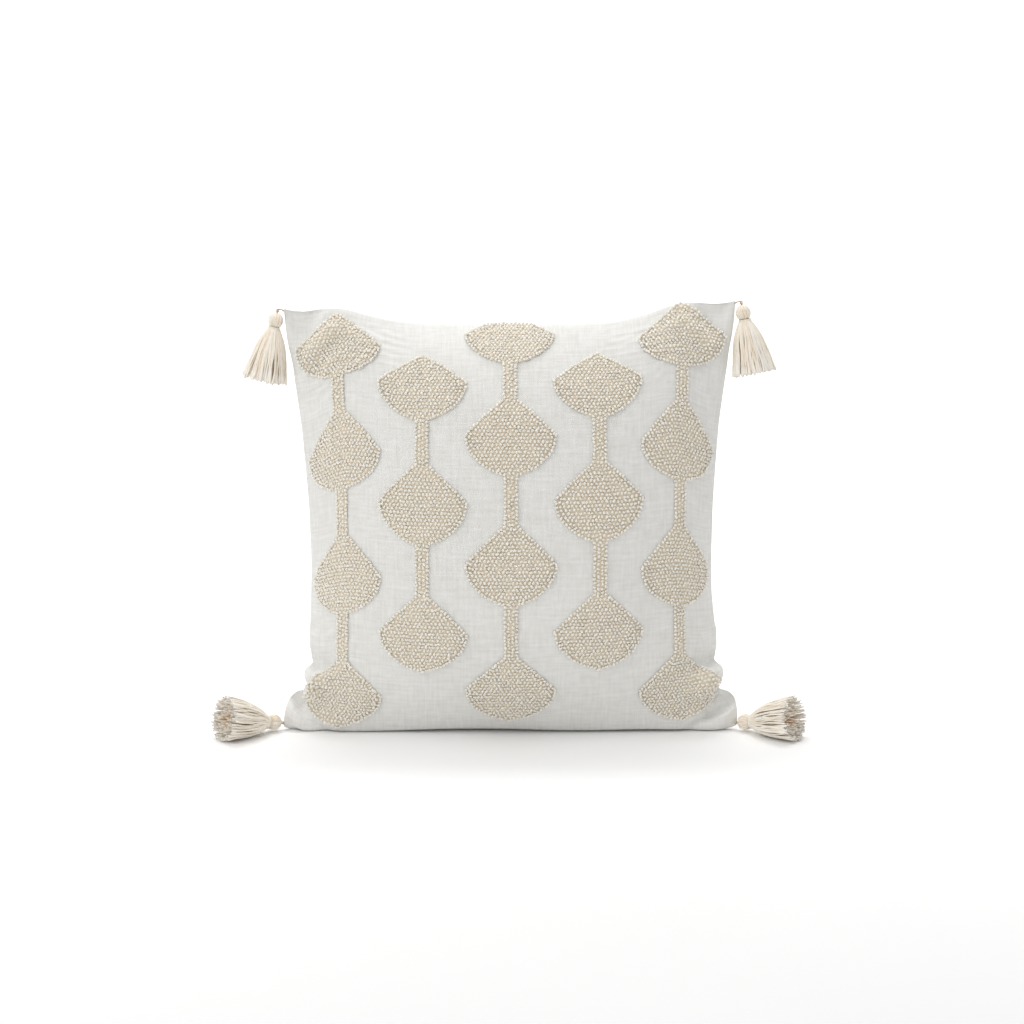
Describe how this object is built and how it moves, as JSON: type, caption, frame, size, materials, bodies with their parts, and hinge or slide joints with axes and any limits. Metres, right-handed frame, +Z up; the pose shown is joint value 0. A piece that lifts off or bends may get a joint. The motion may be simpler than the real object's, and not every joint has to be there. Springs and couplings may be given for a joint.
{
  "type": "throw pillow",
  "caption": "Square stuffed throw pillow with a tufted leaf pattern on the front, a hidden zip in the lower seam and a yarn tassel at each corner.",
  "frame": {"origin": "centre of the whole object's box, on the surface that it stands on", "axes": "+X to the pillow's right seen from the front, +Y from the tufted front to the plain back, +Z up"},
  "size_m": [0.5876, 0.1636, 0.424],
  "materials": {
    "cover_linen": "off-white slubby plain weave of linen and cotton, matt",
    "tuft_yarn": "cream cotton yarn in low dense loops, matt",
    "tassel_yarn": "ivory cotton yarn with tan shadows between the strands, matt",
    "hang_cord": "tan twisted cotton cord, matt",
    "zip_tape": "off-white woven polyester tape, matt",
    "zip_coil": "off-white nylon, satin",
    "zip_metal": "bare zinc and steel, satin",
    "insert_cloth": "white nonwoven cloth, matt",
    "fibre": "white loose polyester fibre, matt"
  },
  "bodies": {
    "cushion": {"front_panel": "cover_linen", "back_panel": "cover_linen", "tufted_column_1": "tuft_yarn", "tufted_column_2": "tuft_yarn", "tufted_column_3": "tuft_yarn", "tufted_column_4": "tuft_yarn", "tufted_column_5": "tuft_yarn", "zip_tape_front": "zip_tape", "zip_tape_back": "zip_tape", "zip_teeth_front": "zip_coil", "zip_teeth_back": "zip_coil", "zip_bottom_stop": "zip_metal", "zip_top_stops": "zip_metal", "insert_front": "insert_cloth", "insert_back": "insert_cloth", "fibre_fill": "fibre", "insert_label": "insert_cloth"},
    "slider": {"zip_slider": "zip_metal"},
    "pull_tab": {"zip_pull": "zip_metal"},
    "cord_top_left": {"loop_top_left": "hang_cord"},
    "tassel_top_left": {"head_top_left": "tassel_yarn", "binding_top_left": "tassel_yarn", "skirt_top_left": "tassel_yarn"},
    "cord_bottom_left": {"loop_bottom_left": "hang_cord"},
    "tassel_bottom_left": {"head_bottom_left": "tassel_yarn", "binding_bottom_left": "tassel_yarn", "skirt_bottom_left": "tassel_yarn"},
    "cord_top_right": {"loop_top_right": "hang_cord"},
    "tassel_top_right": {"head_top_right": "tassel_yarn", "binding_top_right": "tassel_yarn", "skirt_top_right": "tassel_yarn"},
    "cord_bottom_right": {"loop_bottom_right": "hang_cord"},
    "tassel_bottom_right": {"head_bottom_right": "tassel_yarn", "binding_bottom_right": "tassel_yarn", "skirt_bottom_right": "tassel_yarn"}
  },
  "joints": [
    {"name": "zip_slide", "type": "slide", "parent": "cushion", "child": "slider", "axis": [-1, 0, 0], "range_m": [0, 0.32]},
    {"name": "pull_swing", "type": "hinge", "parent": "slider", "child": "pull_tab", "pos_m": [0.1615, -0.0157, 0.00325], "axis": [0, -1, 0], "range_deg": [0, 160]},
    {"name": "cord_bend_top_left", "type": "hinge", "parent": "cushion", "child": "cord_top_left", "pos_m": [-0.227, 0.0088, 0.4243], "axis": [0, 1, 0], "range_deg": [0, 95]},
    {"name": "tassel_swing_top_left", "type": "hinge", "parent": "cord_top_left", "child": "tassel_top_left", "pos_m": [-0.22792, 0.0088, 0.42], "axis": [0.9781, 0, -0.2079], "range_deg": [-80, 80]},
    {"name": "cord_bend_bottom_left", "type": "hinge", "parent": "cushion", "child": "cord_bottom_left", "pos_m": [-0.225, -0.0157, 0.0063], "axis": [-0.6157, 0.788, 0], "range_deg": [0, 50]},
    {"name": "tassel_swing_bottom_left", "type": "hinge", "parent": "cord_bottom_left", "child": "tassel_bottom_left", "pos_m": [-0.22838, -0.01834, 0.00729], "axis": [0, 0, -1], "range_deg": [-45, 32]},
    {"name": "cord_bend_top_right", "type": "hinge", "parent": "cushion", "child": "cord_top_right", "pos_m": [0.227, 0.0088, 0.4243], "axis": [0, -1, 0], "range_deg": [0, 95]},
    {"name": "tassel_swing_top_right", "type": "hinge", "parent": "cord_top_right", "child": "tassel_top_right", "pos_m": [0.22792, 0.0088, 0.42], "axis": [0.9781, 0, 0.2079], "range_deg": [-80, 80]},
    {"name": "cord_bend_bottom_right", "type": "hinge", "parent": "cushion", "child": "cord_bottom_right", "pos_m": [0.225, -0.0157, 0.0063], "axis": [-0.6157, -0.788, 0], "range_deg": [0, 50]},
    {"name": "tassel_swing_bottom_right", "type": "hinge", "parent": "cord_bottom_right", "child": "tassel_bottom_right", "pos_m": [0.22838, -0.01834, 0.00729], "axis": [0, 0, 1], "range_deg": [-45, 32]}
  ]
}
